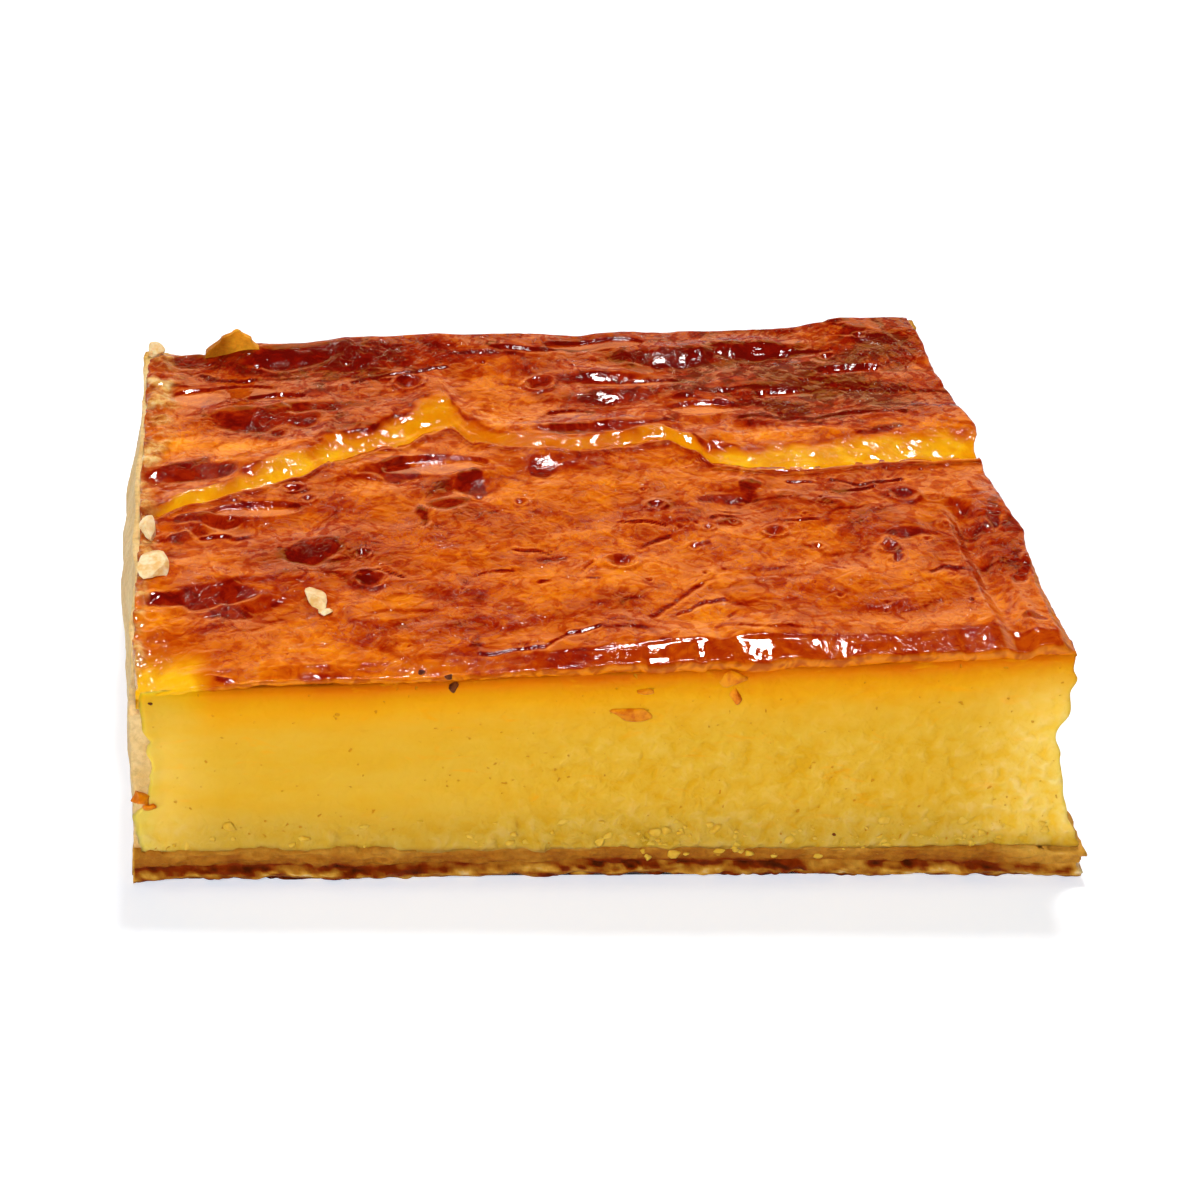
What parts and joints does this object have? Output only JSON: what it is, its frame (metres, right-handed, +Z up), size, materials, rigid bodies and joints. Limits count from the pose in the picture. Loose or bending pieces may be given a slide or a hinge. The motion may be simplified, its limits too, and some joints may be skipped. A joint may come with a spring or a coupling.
{
  "type": "slice of custard flan",
  "caption": "Corner slice of baked custard flan: smooth yellow custard in a thin pastry case, with a browned, torn and glazed top, standing on its flat pastry base.",
  "frame": {"origin": "middle of the slice's bounding box on its underside", "axes": "+X along the slice's long side towards the cut right face, +Y to the back pastry wall, +Z up through the browned top"},
  "size_m": [0.1032, 0.0806, 0.0299],
  "materials": {
    "pastry": "matt, flaky, browned at its edges",
    "custard": "moist satin",
    "baked_skin": "wet gloss, under a clear glaze"
  },
  "bodies": {
    "root": {"pastry": "pastry", "custard": "custard"}
  },
  "joints": []
}
